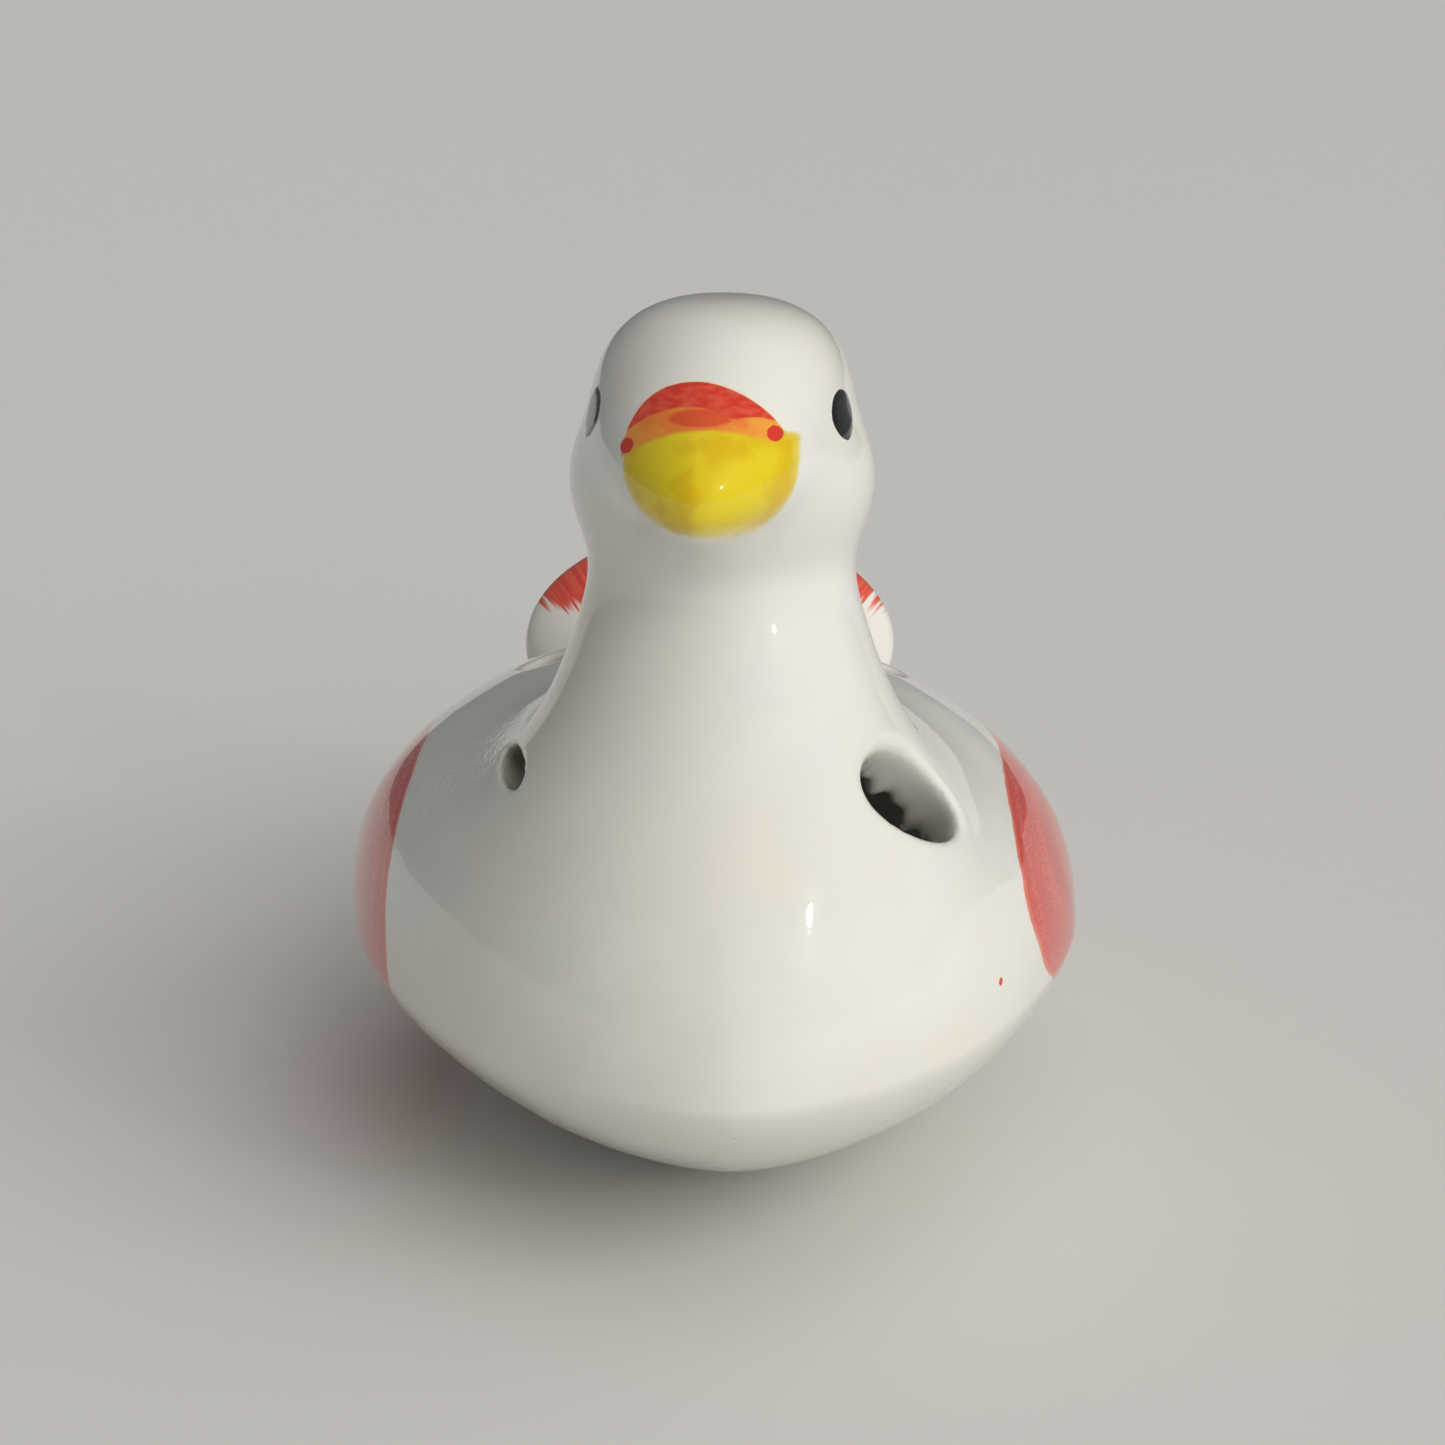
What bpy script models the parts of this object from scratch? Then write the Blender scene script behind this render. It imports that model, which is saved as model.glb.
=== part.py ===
"""Duck ocarina: a hollow glazed clay duck with a windway through its tail.

The duck faces -Y, +Z is up, +X is the duck's left. Lengths are written in millimetres and
multiplied by MM where a mesh is made. The pieces are laid out about the middle of the body and
then all moved by LAYOUT_TO_ORIGIN, which puts the origin on the table under the middle of the
whole duck, bill and tail included.
"""

import bmesh
import bpy
import numpy as np
from mathutils import Matrix, Vector

MM = 0.001
LAYOUT_TO_ORIGIN = (0.04, -1.41, 0.0)
GAP = 0.3  # slip joint between two clay pieces
WALL = 4.0  # clay thickness of the hollow shells
NECK_SEAM_Z = 44.0  # the head and neck were moulded apart and luted on here
SEAM_SPARE = 4.0  # how far past the seam each side is first made, before it is cut

# Body: an egg with its own height and power above and below its widest level
BODY_CENTRE = (0.0, -1.0, 18.5)
BODY_HALF_WIDTH = 31.75
BODY_REAR = 44.0
BODY_FRONT = 45.6
BODY_PLAN_POWER = 1.75  # under 2 the egg is a little keeled at the breast
BODY_UP, BODY_UP_POWER = 21.1, 2.2
BODY_DOWN, BODY_DOWN_POWER = 21.5, 1.42
BODY_LEAN = 0.06  # sideways shift per millimetre below the widest level
LEAN_ABOVE, LEAN_BELOW = 16.0, 24.0  # levels between which the body leans
FOOT_SINK, FOOT_BLEND = 2.0, 7.0  # the hull rounds off to this far under the flat foot at Z = 0

# Head and neck
NECK_LOW, NECK_LOW_RADIUS = (0.0, -24.5, 32.1), 14.9
NECK_TOP, NECK_TOP_RADIUS = (0.0, -21.8, 52.0), 10.05
NECK_BLEND = 20.0
SKULL_CENTRE, SKULL_RADII = (0.0, -21.0, 63.5), (10.15, 12.2)
SKULL_UP, SKULL_UP_POWER, SKULL_DOWN = 10.6, 2.65, 10.0
CHEEK_CENTRE, CHEEK_RADII, CHEEK_HEIGHT = (0.0, -22.0, 60.5), (11.7, 11.6), 8.6
CHEEK_BLEND, HEAD_BLEND = 3.0, 6.0
HEAD_TURN = 8.0  # degrees, to the duck's right
HEAD_AXIS_Y = -22.0
TURN_START_Z, TURN_END_Z = 46.0, 58.0

# Bill
BILL_CENTRE, BILL_RADII = (0.0, -31.0, 63.8), (7.0, 10.2)
BILL_UP, BILL_DOWN = 5.4, 5.3
BILL_UP_POWER, BILL_DOWN_POWER, BILL_PLAN_POWER = 2.0, 1.8, 1.7
BILL_DROOP = 14.0  # degrees

# Tail, which is the mouthpiece: a round fan with a blunt tongue for the lips
TAIL_SIDE = 0.6  # the tail sits this far to the duck's left
FAN_CENTRE, FAN_RADII, FAN_THICK = (TAIL_SIDE, 40.0, 30.2), (18.7, 12.0), 4.8
FAN_LEAN = 62.0  # degrees above the horizontal
FAN_POWER = 2.2
TONGUE_CENTRE, TONGUE_RADII, TONGUE_THICK = (TAIL_SIDE, 44.8, 37.5), (8.8, 10.5), 3.5
TONGUE_POWER = 3.0
TONGUE_BLEND = 5.0
MOUTH_Y, MOUTH_Z = 47.0, 44.6  # middle of the slot where the player blows

# Windway, window and voicing edge
WINDWAY_EXIT_Y, WINDWAY_EXIT_Z = 41.0, 25.0
WINDWAY_WIDTH, WINDWAY_HEIGHT = 9.0, 1.3
WINDOW_WIDTH = 9.6
WINDOW_TOP_Z, WINDOW_BOTTOM_Z = 25.0, 12.9
EDGE_TIP = (39.3, 19.5)  # y, z of the sharp edge
EDGE_OUTER = (38.1, 13.2)
EDGE_INNER = (35.0, 13.2)
EDGE_TIP_FLAT = 0.3

# Finger holes: name, point near the surface, direction the bore points out, length and width of its
# oval, and the turn of the oval about the bore
FINGER_HOLES = (
    ("left_front", (14.6, -30.5, 37.6), (0.40, -0.56, 0.72), 11.2, 6.8, -0.18),
    ("right_front", (-16.7, -24.9, 38.2), (-0.40, -0.80, 0.45), 5.8, 2.7, -0.56),
    ("left_back", (14.0, 9.0, 36.0), (0.36, 0.10, 0.93), 6.4, 6.4, 0.0),
    ("right_back", (-14.0, 9.0, 36.0), (-0.36, 0.10, 0.93), 5.2, 5.2, 0.0),
)
HOLE_DEPTH = 9.0

FAR = 120.0  # reach of a cutting block

# Where the rays that press a sphere into the body and into the head start from
BODY_MIDDLE = (0.0, -9.0, 21.0)
HEAD_MIDDLE = (0.0, -21.5, 60.0)

# Segments and rings of the primitive spheres the pieces are pressed from
BODY_MESH, CHAMBER_MESH = (44, 36), (30, 22)
HEAD_MESH, HOLLOW_MESH = (32, 24), (22, 14)
BILL_MESH = (28, 18)
TAIL_MESH = (44, 20)
HOLE_SEGMENTS = 32

# The glaze on each piece: colour and roughness
GLAZES = {
    "left_body_shell": ((0.80, 0.79, 0.72), 0.10),
    "right_body_shell": ((0.80, 0.79, 0.72), 0.10),
    "left_head_shell": ((0.82, 0.81, 0.76), 0.10),
    "right_head_shell": ((0.82, 0.81, 0.76), 0.10),
    "bill": ((0.80, 0.58, 0.02), 0.12),
    "tail_mouthpiece_roof": ((0.72, 0.13, 0.08), 0.12),
    "tail_mouthpiece_floor": ((0.74, 0.16, 0.10), 0.14),
    "voicing_edge": ((0.76, 0.73, 0.62), 0.30),
}


# ---------------------------------------------------------------- the form


def along_x_turned(points, degrees):
    """Points turned about the X axis; a positive angle lifts what is at -Y."""
    cos, sin = np.cos(np.radians(degrees)), np.sin(np.radians(degrees))
    x, y, z = points.T
    return np.stack([x, y * cos - z * sin, y * sin + z * cos], axis=1)


def egg(points, centre, radii, up, down, power_up=2.0, power_down=2.0, tilt=0.0, front=None, plan=2.0):
    """Near-distance to an egg: an oval in plan, with its own height and power above and below."""
    p = along_x_turned(points - np.array(centre), tilt)
    length = radii[1] if front is None else np.where(p[:, 1] < 0, front, radii[1])
    height = np.where(p[:, 2] > 0, up, down)
    power = np.where(p[:, 2] > 0, power_up, power_down)
    tiny = 1e-9
    a = np.abs(p[:, 0]) / radii[0] + tiny
    b = np.abs(p[:, 1]) / length + tiny
    v = np.abs(p[:, 2]) / height + tiny
    h = (a**plan + b**plan) ** (1 / plan)
    k = (h**power + v**power) ** (1 / power)
    slope_h = (h / k) ** (power - 1)
    slope_x = slope_h * (a / h) ** (plan - 1) / radii[0]
    slope_y = slope_h * (b / h) ** (plan - 1) / length
    slope_z = (v / k) ** (power - 1) / height
    return (k - 1) / np.sqrt(slope_x**2 + slope_y**2 + slope_z**2)


def cone(points, low, top, low_radius, top_radius):
    """Distance to the smooth skin drawn tight around two balls."""
    axis = np.array(top) - low
    length = np.linalg.norm(axis)
    from_low = points - np.array(low)
    along = from_low @ axis / length
    off = np.linalg.norm(from_low - along[:, None] * axis / length, axis=1)
    slope = (low_radius - top_radius) / length
    flank = np.sqrt(1 - slope**2)
    place = flank * along - slope * off
    to_low = np.hypot(off, along) - low_radius
    to_top = np.hypot(off, along - length) - top_radius
    to_flank = flank * off + slope * along - low_radius
    return np.where(place < 0, to_low, np.where(place > flank * length, to_top, to_flank))


def blend(a, b, reach):
    """Soft union of two distances."""
    overlap = np.maximum(reach - np.abs(a - b), 0) / reach
    return np.minimum(a, b) - overlap**3 * reach / 6


def soft_cut(a, b, reach):
    """Soft intersection of two distances."""
    return -blend(-a, -b, reach)


def head_frame(points):
    """The points as the head sees them, the head being turned on the neck."""
    t = np.clip((points[:, 2] - TURN_START_Z) / (TURN_END_Z - TURN_START_Z), 0, 1)
    angle = np.radians(HEAD_TURN) * t * t * (3 - 2 * t)
    cos, sin = np.cos(angle), np.sin(angle)
    x, y, z = points[:, 0], points[:, 1] - HEAD_AXIS_Y, points[:, 2]
    return np.stack([x * cos - y * sin, HEAD_AXIS_Y + x * sin + y * cos, z], axis=1)


def duck_form(points):
    """Body, neck and head as one soft skin, without the bill and the tail."""
    drop = np.clip(BODY_CENTRE[2] - points[:, 2], -LEAN_ABOVE, LEAN_BELOW)
    leaning = points - np.stack([BODY_LEAN * drop, 0 * drop, 0 * drop], axis=1)
    body = egg(
        leaning,
        BODY_CENTRE,
        (BODY_HALF_WIDTH, BODY_REAR),
        BODY_UP,
        BODY_DOWN,
        BODY_UP_POWER,
        BODY_DOWN_POWER,
        front=BODY_FRONT,
        plan=BODY_PLAN_POWER,
    )
    body = soft_cut(body, -FOOT_SINK - points[:, 2], FOOT_BLEND)
    p = head_frame(points)
    neck = cone(p, NECK_LOW, NECK_TOP, NECK_LOW_RADIUS, NECK_TOP_RADIUS)
    skull = egg(p, SKULL_CENTRE, SKULL_RADII, SKULL_UP, SKULL_DOWN, SKULL_UP_POWER)
    cheek = egg(p, CHEEK_CENTRE, CHEEK_RADII, CHEEK_HEIGHT, CHEEK_HEIGHT)
    head = blend(neck, blend(skull, cheek, CHEEK_BLEND), HEAD_BLEND)
    return blend(body, head, NECK_BLEND)


def body_form(points):
    """The form up to a little past the neck seam."""
    return np.maximum(duck_form(points), points[:, 2] - NECK_SEAM_Z - SEAM_SPARE)


def head_form(points):
    """The form down to a little past the neck seam."""
    return np.maximum(duck_form(points), NECK_SEAM_Z - SEAM_SPARE - points[:, 2])


def bill_form(points):
    return egg(
        head_frame(points),
        BILL_CENTRE,
        BILL_RADII,
        BILL_UP,
        BILL_DOWN,
        BILL_UP_POWER,
        BILL_DOWN_POWER,
        tilt=-BILL_DROOP,
        plan=BILL_PLAN_POWER,
    )


def tail_form(points):
    fan = egg(
        points,
        FAN_CENTRE,
        FAN_RADII,
        FAN_THICK,
        FAN_THICK,
        FAN_POWER,
        FAN_POWER,
        tilt=180 - FAN_LEAN,
    )
    tongue = egg(
        points,
        TONGUE_CENTRE,
        TONGUE_RADII,
        TONGUE_THICK,
        TONGUE_THICK,
        TONGUE_POWER,
        TONGUE_POWER,
        tilt=180 - windway_lean(),
        plan=TONGUE_POWER,
    )
    return blend(fan, tongue, TONGUE_BLEND)


def windway_lean():
    """Degrees above the horizontal of the line from the window up to the player's lips."""
    return np.degrees(np.arctan2(MOUTH_Z - WINDWAY_EXIT_Z, MOUTH_Y - WINDWAY_EXIT_Y))


# ---------------------------------------------------------------- building


def clear_scene():
    for obj in list(bpy.data.objects):
        bpy.data.objects.remove(obj, do_unlink=True)


def collection(name, hidden=False):
    made = bpy.data.collections.new(name)
    bpy.context.scene.collection.children.link(made)
    made.hide_render = hidden
    return made


def glaze(obj):
    """Gives a piece the material named after it."""
    colour, roughness = GLAZES[obj.name]
    made = bpy.data.materials.new(obj.name + "_glaze")
    made.use_nodes = True
    shader = made.node_tree.nodes["Principled BSDF"]
    shader.inputs["Base Color"].default_value = (*colour, 1)
    shader.inputs["Metallic"].default_value = 0.0
    shader.inputs["Roughness"].default_value = roughness
    shader.inputs["Coat Weight"].default_value = 1.0
    obj.data.materials.append(made)


def move_to(obj, group):
    for owner in list(obj.users_collection):
        owner.objects.unlink(obj)
    group.objects.link(obj)
    if group.hide_render:
        obj.hide_render = True
        obj.display_type = "WIRE"


def pressed(name, group, form, start, mesh_size, offset=0.0):
    """A primitive sphere whose vertices are pushed out until they meet the form.

    start is (centre, frame): the rays leave the centre, spread as the frame stretches them.
    mesh_size is (segments, rings).
    """
    centre, frame = start
    segments, rings = mesh_size
    bpy.ops.mesh.primitive_uv_sphere_add(segments=segments, ring_count=rings, radius=1.0)
    obj = bpy.context.object
    obj.name = name
    mesh = obj.data
    rays = np.empty(len(mesh.vertices) * 3)
    mesh.vertices.foreach_get("co", rays)
    rays = rays.reshape(-1, 3) @ np.array(frame).T
    rays /= np.linalg.norm(rays, axis=1)[:, None]
    centre = np.array(centre)
    reach = first_exit(lambda p: form(p) - offset, centre, rays)
    mesh.vertices.foreach_set("co", ((centre + reach[:, None] * rays) * MM).ravel())
    split = bmesh.new()
    split.from_mesh(mesh)
    bmesh.ops.triangulate(split, faces=split.faces)
    split.to_mesh(mesh)
    split.free()
    mesh.shade_smooth()
    move_to(obj, group)
    return obj


def body_start():
    """Rays for the body: from under the neck, stretched like the egg."""
    return BODY_MIDDLE, np.diag((BODY_HALF_WIDTH, BODY_REAR, BODY_DOWN))


def head_start():
    return HEAD_MIDDLE, np.eye(3)


def tail_start():
    """Rays for the tail: poles on its two flat sides, so that its rim is even."""
    middle = (Vector(FAN_CENTRE) + Vector(TONGUE_CENTRE)) / 2
    stretch = np.diag((FAN_RADII[0], FAN_RADII[1] + TONGUE_THICK, FAN_THICK))
    return tuple(middle), np.array(windway_frame().to_3x3()) @ stretch


def first_exit(form, start, rays):
    """Distance along each ray to the first place where it leaves the form."""
    step, halvings = 0.5, 14
    inside = np.zeros(len(rays))
    searching = np.ones(len(rays), bool)
    while searching.any():
        ahead = start + (inside + step)[:, None] * rays
        searching &= form(ahead) < 0
        inside[searching] += step
    outside = inside + step
    for _ in range(halvings):
        middle = (inside + outside) / 2
        within = form(start + middle[:, None] * rays) < 0
        inside = np.where(within, middle, inside)
        outside = np.where(within, outside, middle)
    return (inside + outside) / 2


def block(name, group, low, high, turn=Matrix()):
    """A rectangular cutter between two corners, in millimetres, then turned."""
    bpy.ops.mesh.primitive_cube_add(size=1.0)
    obj = bpy.context.object
    obj.name = name
    size = Vector(high) - Vector(low)
    middle = (Vector(high) + Vector(low)) / 2
    place = turn @ Matrix.Translation(middle) @ Matrix.Diagonal((*size, 1))
    obj.data.transform(Matrix.Scale(MM, 4) @ place)
    move_to(obj, group)
    return obj


def boolean(obj, operation, cutter):
    change = obj.modifiers.new(cutter.name, "BOOLEAN")
    change.operation = operation
    change.object = cutter


def windway_frame():
    """Frame of the windway: local Y runs up to the lips, local Z points to the front of the tail."""
    lean = np.radians(windway_lean())
    up = Vector((0, np.cos(lean), np.sin(lean)))
    front = Vector((0, -np.sin(lean), np.cos(lean)))
    frame = Matrix((Vector((1, 0, 0)), up, front)).transposed().to_4x4()
    return Matrix.Translation((TAIL_SIDE, MOUTH_Y, MOUTH_Z)) @ frame


# ---------------------------------------------------------------- cutters


def make_cutters(group):
    half = GAP / 2
    head_turn = Matrix.Translation((0, HEAD_AXIS_Y, 0)) @ Matrix.Rotation(-np.radians(HEAD_TURN), 4, "Z")
    past_end = 1.0  # how far a slot or a window is cut past the clay it opens
    windway_length = np.hypot(MOUTH_Y - WINDWAY_EXIT_Y, MOUTH_Z - WINDWAY_EXIT_Z)
    inside_wall, outside_wall = BODY_REAR - 4 * WALL, BODY_REAR + 2 * WALL
    cutters = {
        "right_side": block("right_side", group, (-FAR, -FAR, -FAR), (half, FAR, FAR)),
        "left_side": block("left_side", group, (-half, -FAR, -FAR), (FAR, FAR, FAR)),
        "under_table": block("under_table", group, (-FAR, -FAR, -FAR), (FAR, FAR, 0.0)),
        "above_seam": block("above_seam", group, (-FAR, -FAR, NECK_SEAM_Z - half), (FAR, FAR, FAR)),
        "below_seam": block("below_seam", group, (-FAR, -FAR, -FAR), (FAR, FAR, NECK_SEAM_Z + half)),
        "head_right_side": block("head_right_side", group, (-FAR, -FAR, -FAR), (half, FAR, FAR), head_turn),
        "head_left_side": block("head_left_side", group, (-half, -FAR, -FAR), (FAR, FAR, FAR), head_turn),
        "tail_front": block("tail_front", group, (-FAR, -FAR, -half), (FAR, FAR, FAR), windway_frame()),
        "tail_rear": block("tail_rear", group, (-FAR, -FAR, -FAR), (FAR, FAR, half), windway_frame()),
        "tail_tip": block("tail_tip", group, (-FAR, 0, -FAR), (FAR, FAR, FAR), windway_frame()),
        "windway": block(
            "windway",
            group,
            (-WINDWAY_WIDTH / 2, -windway_length - past_end, -half - WINDWAY_HEIGHT),
            (WINDWAY_WIDTH / 2, past_end, half + past_end),
            windway_frame(),
        ),
        "window": block(
            "window",
            group,
            (TAIL_SIDE - WINDOW_WIDTH / 2, inside_wall, WINDOW_BOTTOM_Z),
            (TAIL_SIDE + WINDOW_WIDTH / 2, outside_wall, WINDOW_TOP_Z),
        ),
    }
    for name, *shape in FINGER_HOLES:
        cutters[name] = hole_cutter(name, group, *shape)
    return cutters


def hole_cutter(name, group, point, direction, length, width, turn):
    """A rod of oval section through the skin."""
    bpy.ops.mesh.primitive_cylinder_add(vertices=HOLE_SEGMENTS, radius=0.5, depth=2 * HOLE_DEPTH)
    obj = bpy.context.object
    obj.name = name
    axis = Vector(direction).normalized()
    across = axis.cross(Vector((0, 0, 1))).normalized()
    frame = Matrix((across, axis.cross(across), axis)).transposed().to_4x4()
    oval = Matrix.Rotation(turn, 4, "Z") @ Matrix.Diagonal((length, width, 1, 1))
    place = Matrix.Translation(point) @ frame @ oval
    obj.data.transform(Matrix.Scale(MM, 4) @ place)
    smooth_sides(obj)
    move_to(obj, group)
    return obj


def smooth_sides(obj):
    """Smooth shading on the long faces of a rod, not on its ends."""
    for face in obj.data.polygons:
        face.use_smooth = len(face.vertices) == 4


# ---------------------------------------------------------------- the pieces


def make_body_halves(parts, tools, cutters):
    cavity = pressed("chamber", tools, body_form, body_start(), CHAMBER_MESH, -WALL)
    halves = (
        ("left_body_shell", "right_side", ("left_front", "left_back")),
        ("right_body_shell", "left_side", ("right_front", "right_back")),
    )
    for name, other_side, holes in halves:
        shell = pressed(name, parts, body_form, body_start(), BODY_MESH)
        boolean(shell, "DIFFERENCE", cavity)
        boolean(shell, "DIFFERENCE", cutters[other_side])
        boolean(shell, "DIFFERENCE", cutters["above_seam"])
        boolean(shell, "DIFFERENCE", cutters["under_table"])
        boolean(shell, "DIFFERENCE", cutters["window"])
        for hole in holes:
            boolean(shell, "DIFFERENCE", cutters[hole])


def make_head_halves(parts, tools, cutters):
    cavity = pressed("head_hollow", tools, head_form, head_start(), HOLLOW_MESH, -WALL)
    for name, other_side in (
        ("left_head_shell", "head_right_side"),
        ("right_head_shell", "head_left_side"),
    ):
        shell = pressed(name, parts, head_form, head_start(), HEAD_MESH)
        boolean(shell, "DIFFERENCE", cavity)
        boolean(shell, "DIFFERENCE", cutters[other_side])
        boolean(shell, "DIFFERENCE", cutters["below_seam"])


def make_bill(parts, tools):
    bill = pressed("bill", parts, bill_form, (BILL_CENTRE, np.eye(3)), BILL_MESH)
    face = pressed("face_with_gap", tools, head_form, head_start(), HEAD_MESH, GAP)
    boolean(bill, "DIFFERENCE", face)


def make_tail(parts, tools, cutters):
    rump = pressed("rump_with_gap", tools, body_form, body_start(), BODY_MESH, GAP)
    for name, other_side in (
        ("tail_mouthpiece_roof", "tail_rear"),
        ("tail_mouthpiece_floor", "tail_front"),
    ):
        piece = pressed(name, parts, tail_form, tail_start(), TAIL_MESH)
        boolean(piece, "DIFFERENCE", rump)
        boolean(piece, "DIFFERENCE", cutters[other_side])
        boolean(piece, "DIFFERENCE", cutters["tail_tip"])
        boolean(piece, "DIFFERENCE", cutters["window"])
        if name == "tail_mouthpiece_floor":
            boolean(piece, "DIFFERENCE", cutters["windway"])


def make_voicing_edge(parts):
    """A wedge of clay in the foot of the window, its thin edge up towards the windway."""
    profile = (EDGE_TIP, EDGE_OUTER, EDGE_INNER, (EDGE_TIP[0] - EDGE_TIP_FLAT, EDGE_TIP[1]))
    outline = bpy.data.curves.new("voicing_edge", "CURVE")
    outline.dimensions = "2D"
    outline.fill_mode = "BOTH"
    outline.extrude = (WINDOW_WIDTH / 2 - GAP) * MM
    line = outline.splines.new("POLY")
    line.points.add(len(profile) - 1)
    for point, (y, z) in zip(line.points, profile):
        point.co = (y * MM, z * MM, 0, 1)
    line.use_cyclic_u = True
    obj = bpy.data.objects.new("voicing_edge", outline)
    # The outline's own X and Y lie along the duck's Y and Z
    obj.rotation_euler = (np.radians(90), 0, np.radians(90))
    obj.location.x = TAIL_SIDE * MM
    parts.objects.link(obj)


def main():
    clear_scene()
    parts = collection("duck_ocarina")
    tools = collection("cutters", hidden=True)
    cutters = make_cutters(tools)
    make_body_halves(parts, tools, cutters)
    make_head_halves(parts, tools, cutters)
    make_bill(parts, tools)
    make_tail(parts, tools, cutters)
    make_voicing_edge(parts)
    for piece in parts.objects:
        glaze(piece)
    for obj in [*parts.objects, *tools.objects]:
        obj.location += Vector(LAYOUT_TO_ORIGIN) * MM


main()
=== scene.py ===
"""Looks of the duck ocarina: one glazed skin around the packed clay pieces.

The duck faces -Y, +Z is up, +X is the duck's left. Shapes are worked out in millimetres, in the
layout of the CAD source, and are moved into the CAD's frame by place_of_layout(). The skin is one
implicit form, meshed once and then split where the clay pieces join, so that the pieces meet
without a step.
"""

import math

import bmesh
import bpy
import numpy as np
from mathutils import Matrix, Vector


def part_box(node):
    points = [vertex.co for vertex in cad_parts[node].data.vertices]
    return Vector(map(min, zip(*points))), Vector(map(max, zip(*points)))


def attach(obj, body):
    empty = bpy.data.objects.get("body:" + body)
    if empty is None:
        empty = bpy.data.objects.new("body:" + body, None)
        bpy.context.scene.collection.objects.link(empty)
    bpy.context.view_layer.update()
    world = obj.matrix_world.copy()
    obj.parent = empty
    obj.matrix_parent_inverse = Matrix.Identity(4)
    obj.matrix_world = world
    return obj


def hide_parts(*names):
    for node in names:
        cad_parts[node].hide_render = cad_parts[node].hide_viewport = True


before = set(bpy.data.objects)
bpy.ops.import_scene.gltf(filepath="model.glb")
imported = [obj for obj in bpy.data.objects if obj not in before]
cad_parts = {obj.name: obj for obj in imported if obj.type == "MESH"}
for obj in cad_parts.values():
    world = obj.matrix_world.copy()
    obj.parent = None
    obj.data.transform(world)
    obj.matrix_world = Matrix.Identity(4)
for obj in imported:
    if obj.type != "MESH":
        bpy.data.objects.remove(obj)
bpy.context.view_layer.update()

MM = 0.001

# ---------------------------------------------------------------- driving dimensions, millimetres

WALL = 4.0
BODY_CENTRE = (0.0, -1.0, 18.5)
BODY_HALF_WIDTH, BODY_REAR, BODY_FRONT, BODY_PLAN_POWER = 31.75, 44.0, 45.6, 1.75
BODY_UP, BODY_UP_POWER = 21.1, 2.2
BODY_DOWN, BODY_DOWN_POWER = 21.5, 1.42
BODY_LEAN, LEAN_ABOVE, LEAN_BELOW = 0.06, 16.0, 24.0
FOOT_SINK, FOOT_BLEND, FOOT_EDGE = 2.0, 7.0, 1.2

NECK_LOW, NECK_LOW_RADIUS = (0.0, -24.5, 32.1), 14.9
NECK_TOP, NECK_TOP_RADIUS = (0.0, -21.8, 52.0), 10.05
NECK_BLEND = 20.0
SKULL_CENTRE, SKULL_RADII = (0.0, -21.0, 63.5), (10.15, 12.2)
SKULL_UP, SKULL_UP_POWER, SKULL_DOWN = 10.6, 2.65, 10.0
CHEEK_CENTRE, CHEEK_RADII, CHEEK_HEIGHT = (0.0, -22.0, 60.5), (11.7, 11.6), 8.6
CHEEK_BLEND, HEAD_BLEND = 3.0, 6.0
HEAD_TURN, HEAD_AXIS_Y = math.radians(8.0), -22.0
TURN_START_Z, TURN_END_Z = 46.0, 58.0

BILL_CENTRE, BILL_RADII = (0.0, -31.0, 63.8), (7.0, 10.2)
BILL_UP, BILL_DOWN = 5.4, 5.3
BILL_UP_POWER, BILL_DOWN_POWER, BILL_PLAN_POWER = 2.0, 1.8, 1.7
BILL_DROOP = math.radians(14.0)
BILL_BLEND = 8.0

TAIL_SIDE = 0.6
FAN_CENTRE, FAN_RADII, FAN_THICK = (TAIL_SIDE, 40.0, 30.2), (18.7, 12.0), 4.8
FAN_LEAN, FAN_POWER = math.radians(62.0), 2.2
TONGUE_CENTRE, TONGUE_RADII, TONGUE_THICK = (TAIL_SIDE, 44.8, 37.5), (8.8, 10.5), 3.5
TONGUE_POWER, TONGUE_BLEND, TAIL_BLEND = 3.0, 5.0, 5.0

MOUTH_Y, MOUTH_Z = 47.0, 44.6
WINDWAY_EXIT_Y, WINDWAY_EXIT_Z = 41.0, 25.0
WINDWAY_WIDTH, WINDWAY_HEIGHT = 9.0, 1.5
WINDWAY_LEAN = math.atan2(MOUTH_Z - WINDWAY_EXIT_Z, MOUTH_Y - WINDWAY_EXIT_Y)
WINDOW_WIDTH, WINDOW_TOP_Z, WINDOW_BOTTOM_Z = 9.6, 25.0, 12.9
EDGE_TIP, EDGE_OUTER, EDGE_INNER = (39.3, 19.5), (38.1, 13.2), (35.0, 13.2)
EDGE_ROOT_Z, EDGE_OVERLAP = 11.5, 1.0  # the wedge runs on into the clay below and at its ends
EDGE_WEAR, EDGE_JOIN, WINDOW_ROUNDING, WINDWAY_ROUNDING = 0.4, 0.5, 0.8, 0.5

# Finger holes: point near the surface, direction the bore points out, length and width of its oval,
# turn of the oval about the bore, and how uneven the oval is
FINGER_HOLES = (
    ((14.6, -30.5, 37.6), (0.40, -0.56, 0.72), 11.2, 6.8, -0.18, 0.01),
    ((-16.7, -24.9, 38.2), (-0.40, -0.80, 0.45), 5.8, 2.7, -0.56, 0.04),
    ((14.0, 9.0, 36.0), (0.36, 0.10, 0.93), 6.4, 6.4, 0.0, 0.02),
    ((-14.0, 9.0, 36.0), (-0.36, 0.10, 0.93), 5.2, 5.2, 0.0, 0.03),
)
HOLE_DEPTH = 9.0
RIM_SHARE = 0.3  # roundness of a hole's rim, as a share of its width

CELL = 0.5  # grid the skin is meshed on
GRID_LOW, GRID_HIGH = (-34.0, -49.0, -1.5), (34.0, 52.0, 76.0)


# ---------------------------------------------------------------- distances


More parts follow.
